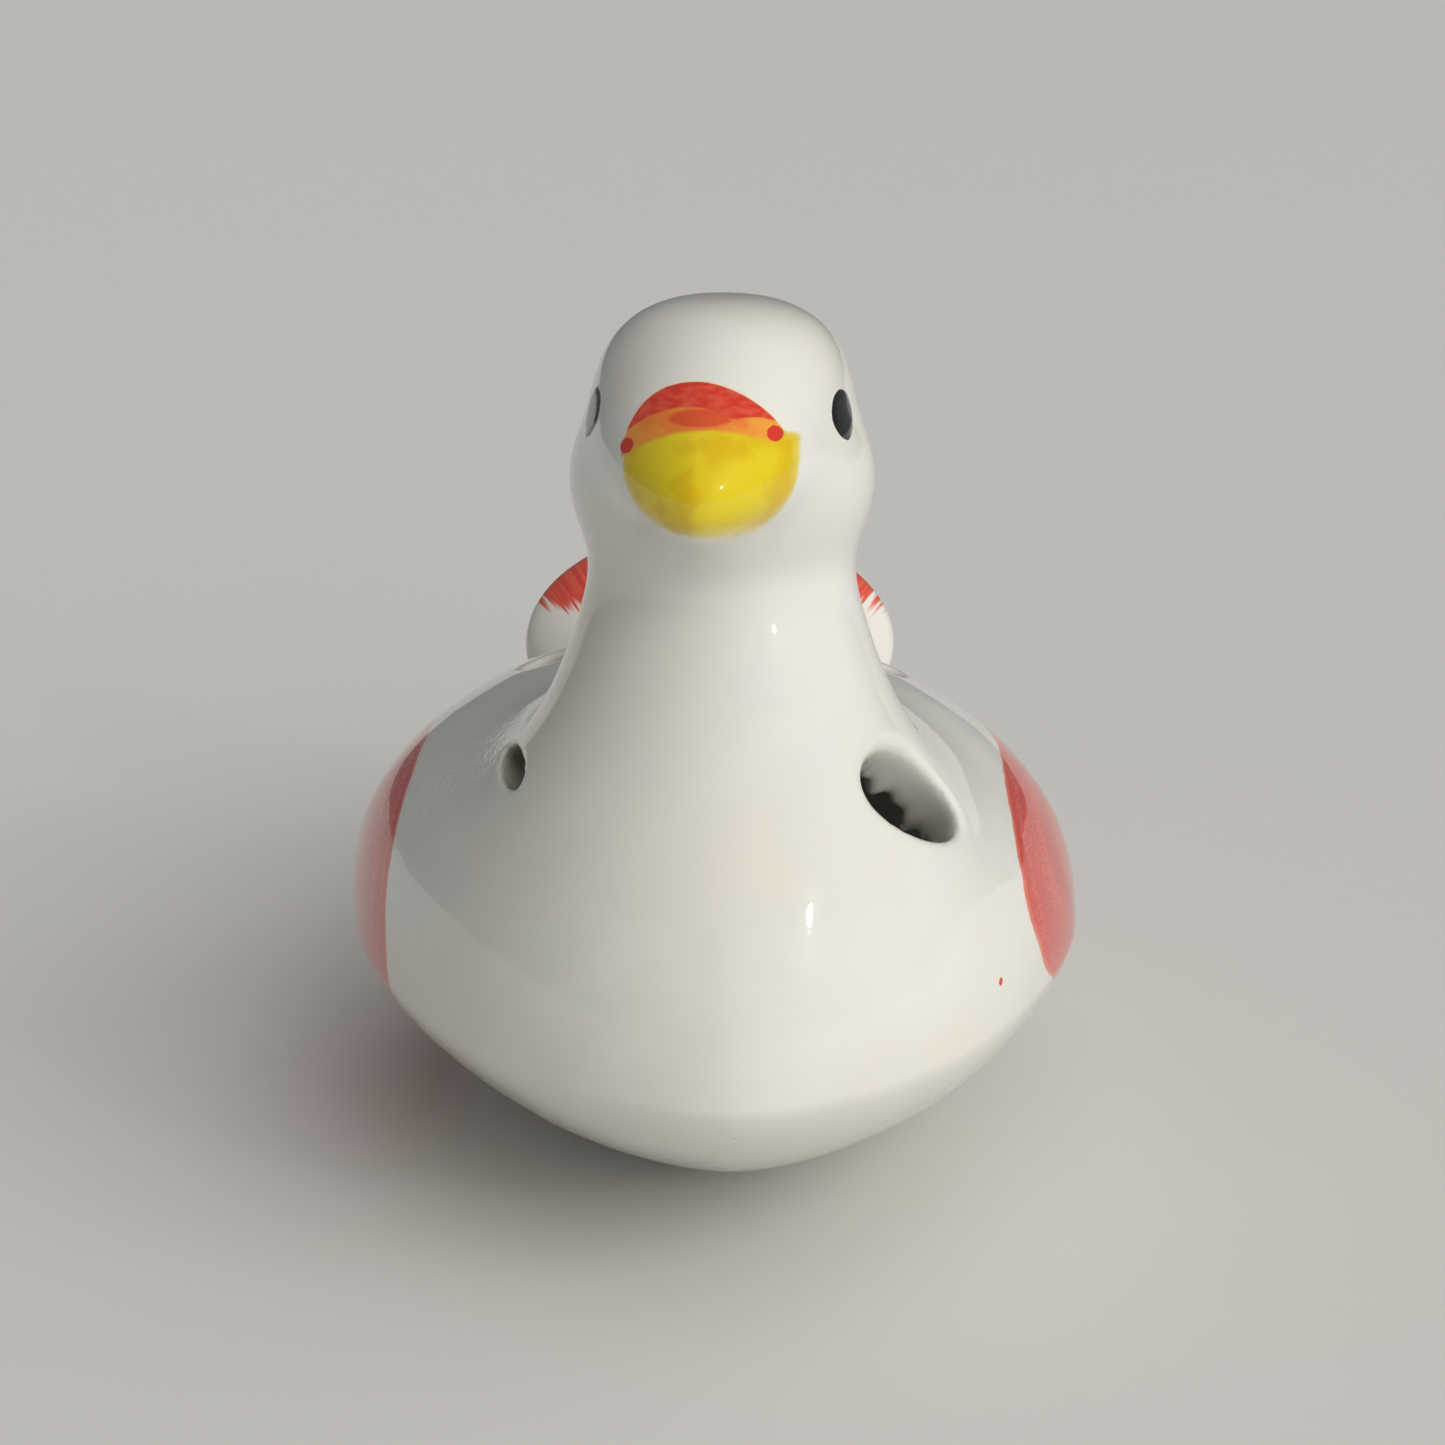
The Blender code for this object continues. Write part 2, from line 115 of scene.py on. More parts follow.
def turned(points, angle):
    """Points turned about the X axis; a positive angle lifts what is at -Y."""
    x, y, z = points.T
    cos, sin = math.cos(angle), math.sin(angle)
    return np.stack([x, y * cos - z * sin, y * sin + z * cos], axis=1)


def egg(points, centre, radii, up, down, power_up=2.0, power_down=2.0, tilt=0.0, front=None, plan=2.0):
    """Near-distance to an egg: an oval in plan, with its own height and power above and below."""
    p = turned(points - np.array(centre), tilt)
    length = radii[1] if front is None else np.where(p[:, 1] < 0, front, radii[1])
    height = np.where(p[:, 2] > 0, up, down)
    power = np.where(p[:, 2] > 0, power_up, power_down)
    tiny = 1e-9
    a = np.abs(p[:, 0]) / radii[0] + tiny
    b = np.abs(p[:, 1]) / length + tiny
    v = np.abs(p[:, 2]) / height + tiny
    h = (a**plan + b**plan) ** (1 / plan)
    k = (h**power + v**power) ** (1 / power)
    slope_h = (h / k) ** (power - 1)
    slope_x = slope_h * (a / h) ** (plan - 1) / radii[0]
    slope_y = slope_h * (b / h) ** (plan - 1) / length
    slope_z = (v / k) ** (power - 1) / height
    return (k - 1) / np.sqrt(slope_x**2 + slope_y**2 + slope_z**2)


def cone(points, low, top, low_radius, top_radius):
    """Distance to the smooth skin drawn tight around two balls."""
    axis = np.array(top) - low
    length = np.linalg.norm(axis)
    from_low = points - np.array(low)
    along = from_low @ axis / length
    off = np.linalg.norm(from_low - along[:, None] * axis / length, axis=1)
    slope = (low_radius - top_radius) / length
    flank = np.sqrt(1 - slope**2)
    place = flank * along - slope * off
    to_low = np.hypot(off, along) - low_radius
    to_top = np.hypot(off, along - length) - top_radius
    to_flank = flank * off + slope * along - low_radius
    return np.where(place < 0, to_low, np.where(place > flank * length, to_top, to_flank))


def blend(a, b, reach):
    """Soft union of two distances."""
    overlap = np.maximum(reach - np.abs(a - b), 0) / reach
    return np.minimum(a, b) - overlap**3 * reach / 6


def soft_cut(a, b, reach):
    """Soft intersection of two distances."""
    return -blend(-a, -b, reach)


def ease(value, low, high):
    """Smooth step from 0 at low to 1 at high."""
    t = np.clip((value - low) / (high - low), 0, 1)
    return t * t * (3 - 2 * t)


# ---------------------------------------------------------------- the duck's form


def head_frame(points):
    """The points as the head sees them, the head being turned on the neck."""
    angle = HEAD_TURN * ease(points[:, 2], TURN_START_Z, TURN_END_Z)
    cos, sin = np.cos(angle), np.sin(angle)
    x, y, z = points[:, 0], points[:, 1] - HEAD_AXIS_Y, points[:, 2]
    return np.stack([x * cos - y * sin, HEAD_AXIS_Y + x * sin + y * cos, z], axis=1)


def duck_form(points):
    """Body, neck and head as one soft skin, without the bill and the tail."""
    drop = np.clip(BODY_CENTRE[2] - points[:, 2], -LEAN_ABOVE, LEAN_BELOW)
    leaning = points - np.stack([BODY_LEAN * drop, 0 * drop, 0 * drop], axis=1)
    body = egg(
        leaning,
        BODY_CENTRE,
        (BODY_HALF_WIDTH, BODY_REAR),
        BODY_UP,
        BODY_DOWN,
        BODY_UP_POWER,
        BODY_DOWN_POWER,
        front=BODY_FRONT,
        plan=BODY_PLAN_POWER,
    )
    body = soft_cut(body, -FOOT_SINK - points[:, 2], FOOT_BLEND)
    p = head_frame(points)
    neck = cone(p, NECK_LOW, NECK_TOP, NECK_LOW_RADIUS, NECK_TOP_RADIUS)
    skull = egg(p, SKULL_CENTRE, SKULL_RADII, SKULL_UP, SKULL_DOWN, SKULL_UP_POWER)
    cheek = egg(p, CHEEK_CENTRE, CHEEK_RADII, CHEEK_HEIGHT, CHEEK_HEIGHT)
    head = blend(neck, blend(skull, cheek, CHEEK_BLEND), HEAD_BLEND)
    return blend(body, head, NECK_BLEND)


def bill_form(points):
    return egg(
        head_frame(points),
        BILL_CENTRE,
        BILL_RADII,
        BILL_UP,
        BILL_DOWN,
        BILL_UP_POWER,
        BILL_DOWN_POWER,
        tilt=-BILL_DROOP,
        plan=BILL_PLAN_POWER,
    )


def tail_form(points):
    fan = egg(
        points, FAN_CENTRE, FAN_RADII, FAN_THICK, FAN_THICK, FAN_POWER, FAN_POWER, tilt=math.pi - FAN_LEAN
    )
    tongue = egg(
        points,
        TONGUE_CENTRE,
        TONGUE_RADII,
        TONGUE_THICK,
        TONGUE_THICK,
        TONGUE_POWER,
        TONGUE_POWER,
        tilt=math.pi - WINDWAY_LEAN,
        plan=TONGUE_POWER,
    )
    return blend(fan, tongue, TONGUE_BLEND)


def unevenness(points):
    """The slight swell and dip that hands leave in clay."""
    x, y, z = points.T
    swell = np.sin(0.31 * x + 0.17 * y + 0.8) * np.sin(0.27 * z - 0.12 * x + 0.5)
    ripple = np.sin(0.62 * x - 0.35 * z + 1.9) * np.sin(0.48 * y + 0.41 * z)
    return 0.05 * swell + 0.02 * ripple


def normal_at(form, points, reach=0.05):
    """Unit outward directions of a form at points."""
    slopes = [form(points + step) - form(points - step) for step in np.eye(3) * reach]
    slopes = np.stack(slopes, axis=1)
    return slopes / np.linalg.norm(slopes, axis=1)[:, None]


def hole_frames():
    """Each finger hole's centre, axis, the directions along and across its oval, and the oval."""
    frames = []
    for point, direction, length, width, turn, unround in FINGER_HOLES:
        axis = np.array(direction) / np.linalg.norm(direction)
        across = np.cross(axis, (0, 0, 1))
        across /= np.linalg.norm(across)
        up = np.cross(axis, across)
        long_way = across * math.cos(turn) + up * math.sin(turn)
        short_way = np.cross(axis, long_way)
        frames.append((np.array(point), axis, long_way, short_way, length / 2, width / 2, unround))
    return frames


HOLES = hole_frames()


# The burr: its mean height at a hole of the half width BURR_FULL_AT, its waves around the rim, its width
BURR_MEAN, BURR_FULL_AT, BURR_WIDTH = 0.6, 3.4, 1.8
BURR_WAVES = ((0.45, 7, 0.6), (0.3, 15, 2.0))


def hole_form(points, hole):
    """The bore of a finger hole, and the burr of clay that was pushed through on its inner side."""
    centre, axis, long_way, short_way, half_length, half_width, unround = hole
    p = points - centre
    depth = p @ axis
    u, v = p @ long_way / half_length, p @ short_way / half_width
    angle = np.arctan2(v, u)
    share = np.hypot(u, v)
    slope = np.hypot(u / half_length, v / half_width) / np.maximum(share, 1e-6)
    edge = 1 + unround * (np.cos(2 * angle + 0.9) + 0.6 * np.cos(3 * angle - 0.6))
    reach = (share - edge) / np.maximum(slope, 1 / half_length)
    bore = np.maximum(reach, np.abs(depth) - HOLE_DEPTH)
    ragged = sum((size * np.sin(count * angle + phase) for size, count, phase in BURR_WAVES), BURR_MEAN)
    burr = half_width / BURR_FULL_AT * ragged * np.exp(-((reach / BURR_WIDTH) ** 2)) * (depth < 0)
    return bore, burr


def box_form(points, middle, half):
    return np.max(np.abs(points - np.array(middle)) - np.array(half), axis=1)


def windway_axes(points):
    """The points with Y up the windway to the lips and Z towards the front of the tail."""
    x, y, z = (points - np.array((TAIL_SIDE, MOUTH_Y, MOUTH_Z))).T
    cos, sin = math.cos(WINDWAY_LEAN), math.sin(WINDWAY_LEAN)
    return np.stack([x, y * cos + z * sin, z * cos - y * sin], axis=1)


def windway_form(points):
    length = math.hypot(MOUTH_Y - WINDWAY_EXIT_Y, MOUTH_Z - WINDWAY_EXIT_Z)
    half = (WINDWAY_WIDTH / 2, length / 2 + 1, WINDWAY_HEIGHT / 2)
    return box_form(windway_axes(points), (0, -length / 2, -WINDWAY_HEIGHT / 2), half)


def window_form(points):
    middle_z, half_z = (WINDOW_TOP_Z + WINDOW_BOTTOM_Z) / 2, (WINDOW_TOP_Z - WINDOW_BOTTOM_Z) / 2
    return box_form(points, (TAIL_SIDE, BODY_REAR - WALL, middle_z), (WINDOW_WIDTH / 2, 3 * WALL, half_z))


def edge_form(points):
    """The wedge that splits the air: each side of its section is a half plane."""
    y, z = points[:, 1], points[:, 2]
    tip = (EDGE_TIP[0], EDGE_TIP[1] + EDGE_WEAR)
    roots = [(EDGE_INNER[0], EDGE_ROOT_Z), (EDGE_OUTER[0], EDGE_ROOT_Z)]
    corners = [tip, EDGE_INNER, *roots, EDGE_OUTER]
    sides = [np.abs(points[:, 0] - TAIL_SIDE) - WINDOW_WIDTH / 2 - EDGE_OVERLAP]
    for (y0, z0), (y1, z1) in zip(corners, corners[1:] + corners[:1]):
        length = math.hypot(y1 - y0, z1 - z0)
        sides.append(((y - y0) * (z1 - z0) - (z - z0) * (y1 - y0)) / -length)
    return np.max(sides, axis=0)


def clay_form(points):
    """Everything: negative inside the clay, positive outside it and in its hollows."""
    duck = duck_form(points)
    outside = duck - unevenness(points) - eye_bead(points)
    outside = blend(outside, bill_form(points), BILL_BLEND)
    outside = blend(outside, tail_form(points), TAIL_BLEND)
    outside = soft_cut(outside, -points[:, 2], FOOT_EDGE)
    bores = [hole_form(points, hole) for hole in HOLES]
    hollow = duck + WALL + sum(burr for _, burr in bores)
    clay = np.maximum(outside, -hollow)
    for (bore, _), (*_, half_width, _) in zip(bores, HOLES):
        clay = soft_cut(clay, -bore, RIM_SHARE * 2 * half_width)
    clay = soft_cut(clay, -window_form(points), WINDOW_ROUNDING)
    clay = blend(clay, edge_form(points), EDGE_JOIN)
    return soft_cut(clay, -windway_form(points), WINDWAY_ROUNDING)


# ---------------------------------------------------------------- where the colours lie

FAR_OFF = 9.0  # distances to a painted edge are cut off at this
FACE_Y = -24.0  # the painted face lies in front of this

# Eyes as seen from the side of the head: y and z of the middle, half width, half height, slant
EYE_HEIGHT_ABOVE_GLAZE = 0.12
EYES = {1: (-26.4, 66.2, 2.1, 1.8, 0.3), -1: (-27.6, 66.2, 2.1, 1.8, 0.3)}


def eye_inside(points):
    """Millimetres inside the edge of the nearer eye."""
    p = head_frame(points)
    side = np.where(p[:, 0] > 0, 1, -1)
    inside = np.full(len(p), -FAR_OFF)
    for sign, (y, z, half_y, half_z, slant) in EYES.items():
        rise = (p[:, 2] - z) / half_z
        run = (p[:, 1] - y - slant * (p[:, 2] - z)) / half_y
        tip = np.where(rise < 0, 1.6, 2.0)
        k = (np.abs(run) ** tip + np.abs(rise) ** tip) ** (1 / tip)
        here = (side == sign) & (np.abs(p[:, 0]) > 5)
        inside = np.where(here, (1 - k) * half_y, inside)
    return np.maximum(inside, -FAR_OFF)


def eye_bead(points):
    """The eyes stand a little proud."""
    return EYE_HEIGHT_ABOVE_GLAZE * ease(eye_inside(points), -0.15, 0.5)


def seen_height(points):
    """Height as seen from the front and a little above, the way the bill was painted."""
    return points[:, 2] * math.cos(PAINTED_FROM) + points[:, 1] * math.sin(PAINTED_FROM)


PAINTED_FROM = math.radians(17.0)
# The red arch over the bill, in that view: middle, half widths and powers to either side, foot, rise
ARCH_MIDDLE, ARCH_HALVES, ARCH_POWERS = -0.2, (5.6, 6.9), (2.6, 1.55)
ARCH_FOOT, ARCH_RISE, ARCH_FALL = 51.0, 5.85, 6.0
# The two humps of the orange band's top edge: height, curvature, middle
ORANGE_HUMPS = ((54.87, 0.08, -0.9), (54.33, 0.12, 4.2))
YELLOW_TOP, YELLOW_CURVE, YELLOW_MIDDLE, YELLOW_LIFT = 53.08, 0.035, 1.3, 1.1
LIFT_START_X, LIFT_END_X = 4.9, 5.8
NOSTRILS, NOSTRIL_RADIUS, NOSTRIL_SQUASH = ((5.27, 53.25), (-5.35, 52.1)), 0.58, 0.92
BLOTCH_HEIGHT, BLOTCH_HALF_WIDTH, BLOTCH_HALF_HEIGHT = 54.0, 2.6, 0.8
# The rounded lower edge of the yellow, in the same view: its middle, half width, top and depth
BOWL_MIDDLE, BOWL_HALF, BOWL_TOP, BOWL_DEPTH = 0.65, 6.35, 51.5, 6.1
CORNER_X, CORNER_TOP = 3.0, 53.5  # beside the left nostril the yellow reaches this height


def bill_paint(points):
    """Millimetres inside or above each edge of the bill's paint."""
    p = head_frame(points)
    x, h = p[:, 0], seen_height(p)
    on_right = x < ARCH_MIDDLE
    half, power = np.where(on_right, *ARCH_HALVES), np.where(on_right, *ARCH_POWERS)
    from_middle = np.abs(x - ARCH_MIDDLE) / half
    vault = np.sqrt(np.clip(1 - np.clip(from_middle, 0, 1) ** power, 0, 1))
    arch = ARCH_FOOT + ARCH_RISE * vault - ARCH_FALL * np.clip(from_middle - 1, 0, FAR_OFF)
    orange = np.max([top - curve * (x - middle) ** 2 for top, curve, middle in ORANGE_HUMPS], axis=0)
    yellow = YELLOW_TOP - YELLOW_CURVE * (x - YELLOW_MIDDLE) ** 2
    yellow = yellow + YELLOW_LIFT * ease(x, LIFT_START_X, LIFT_END_X)
    off_middle = np.abs(x - BOWL_MIDDLE) / BOWL_HALF
    bowl = BOWL_TOP - BOWL_DEPTH * np.sqrt(np.clip(1 - off_middle**2, 0, 1))
    bowl_in = np.minimum(np.where(h < BOWL_TOP, h - bowl, FAR_OFF), BOWL_HALF * (1 - off_middle))
    below_red = np.maximum(arch - h, np.where(x > CORNER_X, CORNER_TOP - h, -FAR_OFF))
    bowl_in = np.minimum.reduce([bowl_in, below_red, FACE_Y - p[:, 1]])
    blotch = 1 - np.hypot(x / BLOTCH_HALF_WIDTH, (h - BLOTCH_HEIGHT) / BLOTCH_HALF_HEIGHT)
    nostrils = [NOSTRIL_RADIUS - np.hypot(x - at_x, (h - at_h) * NOSTRIL_SQUASH) for at_x, at_h in NOSTRILS]
    return {
        "arch_in": arch - h,
        "above_orange": h - orange,
        "above_yellow": h - yellow,
        "on_bill": np.clip(duck_form(points) - bill_form(points), -FAR_OFF, FAR_OFF),
        "bowl_in": np.clip(bowl_in, -FAR_OFF, FAR_OFF),
        "blotch_in": np.maximum(blotch, -FAR_OFF),
        "nostril_in": np.where(p[:, 1] < FACE_Y, np.maximum(*nostrils), -FAR_OFF),
    }


# Wings as seen from the side: y of the front, z of the middle, half heights above and below, power
WINGS = {1: (-24.2, 23.6, 8.6, 9.4, 2.4), -1: (-21.8, 18.0, 15.4, 9.5, 2.0)}
WING_MIDDLE_Y, WING_REAR, WING_FROM_X = 2.0, 20.0, 8.0
# Feather tips: count, y of their roots, y of the first tip and how much further back the last one is
FEATHERS, FEATHER_ROOT_Y, FEATHER_TIP_Y, FEATHER_STAGGER = 5, 6.0, 25.0, 7.5
# Shares of the wing's height: how low the roots and the first tip lie, and how far the tips spread
FEATHER_DROP, FEATHER_TIP_DROP, FEATHER_SPREAD = 0.62, 0.15, 0.66
FEATHER_HALF_WIDTH, FEATHER_TAPER = 2.4, 0.55


def wing_inside(points):
    """Millimetres inside the painted wing on the nearer flank: a leaf with feather tips behind."""
    x, y, z = points.T
    inside = np.full(len(points), -FAR_OFF)
    for sign, (front, middle_z, up, down, power) in WINGS.items():
        reach = np.where(y < WING_MIDDLE_Y, WING_MIDDLE_Y - front, WING_REAR)
        a = np.abs(y - WING_MIDDLE_Y) / reach
        v = np.where(z > middle_z, (z - middle_z) / up, (middle_z - z) / down)
        leaf = (1 - (a**power + v**power) ** (1 / power)) * up
        for number in range(FEATHERS):
            share = number / (FEATHERS - 1)
            root_z = middle_z - FEATHER_DROP * down + share * FEATHER_DROP * (up + down)
            tip_z = middle_z - FEATHER_TIP_DROP * down + share * FEATHER_SPREAD * (up + down)
            root = np.array([FEATHER_ROOT_Y, root_z])
            axis = np.array([FEATHER_TIP_Y + FEATHER_STAGGER * share, tip_z]) - root
            t = np.clip(((y - root[0]) * axis[0] + (z - root[1]) * axis[1]) / (axis @ axis), 0, 1)
            off = np.hypot(y - root[0] - t * axis[0], z - root[1] - t * axis[1])
            leaf = np.maximum(leaf, FEATHER_HALF_WIDTH * (1 - FEATHER_TAPER * t**3) - off)
        inside = np.where(x * sign > WING_FROM_X, leaf, inside)
    on_the_outside = duck_form(points) > -WALL / 2
    return np.where(on_the_outside, np.maximum(inside, -FAR_OFF), -FAR_OFF)


# Small marks in the glaze: x, y, z, radius
RED_FLECKS = ((21.5, -31.5, 22.3, 0.42), (-9.0, 38.0, 14.0, 0.35), (27.0, 24.0, 13.0, 0.3))


def fleck_inside(points):
    depth = [radius - np.linalg.norm(points - np.array(at), axis=1) for *at, radius in RED_FLECKS]
    return np.maximum(np.max(depth, axis=0), -FAR_OFF)


STROKE_START = 20.0  # strokes fan out from this far below the middle of the tail
STROKE_REACH = 26.0  # distance from there at which the strokes are measured across
RED_FROM_Z = 34.3  # the red begins at about this height


def tail_paint(points):
    """Height past the edge of the red, and place across the strokes."""
    p = points - np.array(FAN_CENTRE)
    along = p[:, 1] * math.cos(FAN_LEAN) + p[:, 2] * math.sin(FAN_LEAN) + STROKE_START
    return {"tail_red": points[:, 2] - RED_FROM_Z, "tail_across": np.arctan2(p[:, 0], along) * STROKE_REACH}


# ---------------------------------------------------------------- the mesh


def surface_net(form, low, high, cell):
    """Vertices and quads of the form's surface, one vertex in each grid cell that it crosses."""
    counts = np.ceil((np.array(high) - low) / cell).astype(int) + 1
    xs, ys, zs = [low[k] + cell * np.arange(counts[k]) for k in range(3)]
    plane = np.stack(np.meshgrid(ys, zs, indexing="ij"), axis=-1).reshape(-1, 2)
    values = np.empty(counts)
    for i, x in enumerate(xs):
        points = np.column_stack([np.full(len(plane), x), plane])
        values[i] = form(points).reshape(counts[1:])
    inside = values < 0
    corners = [(i, j, k) for i in (0, 1) for j in (0, 1) for k in (0, 1)]
    ends = [slice(0, -1), slice(1, None)]
    filled = sum(inside[ends[i], ends[j], ends[k]].astype(int) for i, j, k in corners)
    crossed = (filled > 0) & (filled < 8)
    number = np.full(crossed.shape, -1)
    number[crossed] = np.arange(crossed.sum())
    cells = np.argwhere(crossed)
    total, count = np.zeros((len(cells), 3)), np.zeros(len(cells))
    for a in corners:
        for axis in range(3):
            if a[axis]:
                continue
            b = tuple(1 if k == axis else a[k] for k in range(3))
            at_a, at_b = values[tuple((cells + a).T)], values[tuple((cells + b).T)]
            cuts = (at_a < 0) != (at_b < 0)
            share = np.where(cuts, at_a / np.where(cuts, at_a - at_b, 1), 0)
            point = cells + np.array(a) + share[:, None] * (np.array(b) - a)
            total[cuts] += point[cuts]
            count[cuts] += 1
    vertices = np.array(low) + cell * total / count[:, None]
    return vertices, net_faces(inside, number)


def net_faces(inside, number):
    """A quad around each grid edge that the surface crosses, facing out."""
    quads = []
    for axis in range(3):
        others = [k for k in range(3) if k != axis]
        first = [slice(None)] * 3
        second = [slice(None)] * 3
        first[axis], second[axis] = slice(0, -1), slice(1, None)
        crosses = inside[tuple(first)] != inside[tuple(second)]
        inner = [slice(None)] * 3
        for k in others:
            inner[k] = slice(1, -1)
        at = np.argwhere(crosses[tuple(inner)])
        at[:, others] += 1

        def cell_number(back_0, back_1):
            there = at.copy()
            there[:, others[0]] -= back_0
            there[:, others[1]] -= back_1
            return number[tuple(there.T)]

        quad = np.stack([cell_number(0, 0), cell_number(1, 0), cell_number(1, 1), cell_number(0, 1)], axis=1)
        outward = inside[tuple(at.T)] == (axis != 1)
        quad[~outward] = quad[~outward][:, ::-1]
        quads.append(quad)
    return np.vstack(quads)


def settled(form, vertices, quads, rounds):
    """Vertices spread evenly over the surface and brought exactly onto it."""
    links = np.concatenate([quads[:, [0, 1]], quads[:, [1, 2]], quads[:, [2, 3]], quads[:, [3, 0]]])
    neighbours = np.bincount(links[:, 0], minlength=len(vertices))[:, None]
    for _ in range(rounds):
        mean = np.stack(
            [np.bincount(links[:, 0], vertices[links[:, 1], k], len(vertices)) for k in range(3)], axis=1
        )
        shift = 0.5 * (mean / neighbours - vertices)
        normal = normal_at(form, vertices)
        shift -= (shift * normal).sum(axis=1)[:, None] * normal
        vertices = on_surface(form, vertices + shift)
    return vertices


def on_surface(form, vertices, steps=2):
    reach = 0.02
    for _ in range(steps):
        slope = np.stack(
            [(form(vertices + d) - form(vertices - d)) / (2 * reach) for d in np.eye(3) * reach], axis=1
        )
        steep = np.maximum((slope**2).sum(axis=1), 0.25)
        move = slope * (form(vertices) / steep)[:, None]
        length = np.maximum(np.linalg.norm(move, axis=1), 1e-9)[:, None]
        vertices = vertices - move * np.minimum(1, 0.5 * CELL / length)
    return vertices


SHELL_SLACK = 0.5  # how far a packed shell may stand out past the form


def place_of_layout():
    """Where the layout's zero point lies in the CAD's frame, read from the voicing edge."""
    low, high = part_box("voicing_edge")
    return np.array([(low.x + high.x) / 2, low.y, low.z]) / MM - (TAIL_SIDE, *EDGE_INNER)


def check_form():
    """Stops the script if a packed shell no longer reaches the form, or stands out past it."""
    for name in ("left_body_shell", "right_body_shell", "left_head_shell", "right_head_shell"):
        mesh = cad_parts[name].data
        points = np.empty(3 * len(mesh.vertices))
        mesh.vertices.foreach_get("co", points)
        off = duck_form(points.reshape(-1, 3) / MM - PLACE)
        if not 0 < off.max() < SHELL_SLACK:
            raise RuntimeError(f"{name} no longer follows the form: it stands {off.max():.2f} mm off")


# ---------------------------------------------------------------- splitting the skin


TAIL_FROM_Y = 10.0  # what lies in front of this is never tail
NECK_SEAM = ((0, 0, 44.0), (0, 0, 1))
NEAR_SEAM, ON_PLANE = 2.0, 1e-3
BILL_SEAM_Y, BILL_ABOVE_Z, BILL_BEFORE_Y = -33.9, 50.0, -28.0
BILL_SEAM = (
    (0, HEAD_AXIS_Y, 0),
    (math.sin(HEAD_TURN), math.cos(HEAD_TURN), 0),
)
TAIL_SEAM = ((0, 0, 45.0 / math.sin(FAN_LEAN)), (0, math.cos(FAN_LEAN), math.sin(FAN_LEAN)))


def beyond(points, seam, offset=0.0):
    """How far points lie past a seam's plane."""
    return (points - np.array(seam[0])) @ np.array(seam[1]) - offset


PLANES = {
    "neck": (NECK_SEAM, 0.0),
    "bill": (BILL_SEAM, BILL_SEAM_Y - HEAD_AXIS_Y),
    "tail": (TAIL_SEAM, 0.0),
}


def piece_of(points):
    """Which piece each point belongs to."""
    y = points[:, 1]
    front = y < TAIL_FROM_Y
    name = np.full(len(points), "body", object)
    head = front & (beyond(points, NECK_SEAM) > 0)
    name[head] = "head"
    name[head & (beyond(points, *PLANES["bill"]) < 0)] = "bill"
    name[~front & (beyond(points, TAIL_SEAM) > 0)] = "tail"
    return name


def cut_plane(bm, key, wanted):
    (point, normal), offset = PLANES[key]
    point = np.array(point) + offset * np.array(normal)
    faces = [f for f in bm.faces if wanted(f.calc_center_median())]
    edges = {e for f in faces for e in f.edges}
    verts = {v for f in faces for v in f.verts}
    bmesh.ops.bisect_plane(
        bm,
        geom=[*verts, *edges, *faces],
        dist=1e-5,
        plane_co=point,
        plane_no=normal,
    )


def lies_on(edge, seam, offset):
    return all(abs(beyond(np.array(vert.co), seam, offset)) < ON_PLANE for vert in edge.verts)


def cap_seams(bm):
    """Closes each cut, so that a piece is a closed solid."""
    for seam, offset in PLANES.values():
        edges = [e for e in bm.edges if e.is_boundary and lies_on(e, seam, offset)]
        if edges:
            made = bmesh.ops.triangle_fill(bm, edges=edges, use_beauty=True)
            for item in made["geom"]:
                if isinstance(item, bmesh.types.BMFace):
                    item.material_index = 1


def skin_mesh():
    vertices, quads = surface_net(clay_form, GRID_LOW, GRID_HIGH, CELL)
    vertices = settled(clay_form, vertices, quads, 2)
    return vertices, quads


def split_skin(vertices, quads):
    """One closed mesh for each piece, from the whole skin."""
    whole = bpy.data.meshes.new("whole")
    whole.from_pydata(vertices.tolist(), [], quads.tolist())
    bm = bmesh.new()
    bm.from_mesh(whole)
    bpy.data.meshes.remove(whole)
    cut_plane(bm, "neck", lambda c: c.y < TAIL_FROM_Y and abs(beyond(np.array(c), NECK_SEAM)) < NEAR_SEAM)
    cut_plane(bm, "tail", lambda c: c.y > TAIL_FROM_Y and abs(beyond(np.array(c), TAIL_SEAM)) < NEAR_SEAM)
    cut_plane(bm, "bill", lambda c: c.z > BILL_ABOVE_Z and c.y < BILL_BEFORE_Y)
    centres = np.array([f.calc_center_median() for f in bm.faces])
    names = piece_of(centres)
    cut = bpy.data.meshes.new("cut")
    bm.to_mesh(cut)
    bm.free()
    pieces = {}
    for name in sorted(set(names)):
        bm = bmesh.new()
        bm.from_mesh(cut)
        bm.faces.ensure_lookup_table()
        others = [bm.faces[i] for i in np.flatnonzero(names != name)]
        bmesh.ops.delete(bm, geom=others, context="FACES")
        cap_seams(bm)
        bmesh.ops.recalc_face_normals(bm, faces=bm.faces)
        mesh = bpy.data.meshes.new(name)
        bm.to_mesh(mesh)
        bm.free()
        pieces[name] = mesh
    bpy.data.meshes.remove(cut)
    return pieces


def shade_from_form(mesh):
    """Normals from the form itself, so that the glaze reflects smoothly across every seam."""
    count = len(mesh.vertices)
    points = np.empty(3 * count)
    mesh.vertices.foreach_get("co", points)
    normals = normal_at(clay_form, points.reshape(-1, 3), 0.08)
    loops = np.empty(len(mesh.loops), int)
    mesh.loops.foreach_get("vertex_index", loops)
    split = normals[loops]
    for face in mesh.polygons:
        face.use_smooth = True
        if face.material_index == 1:
            split[face.loop_start : face.loop_start + face.loop_total] = face.normal
            face.material_index = 0
    mesh.normals_split_custom_set(split.tolist())


def add_values(mesh, values):
    for name, value in values.items():
        layer = mesh.attributes.new(name, "FLOAT", "POINT")
        layer.data.foreach_set("value", np.asarray(value, np.float32))


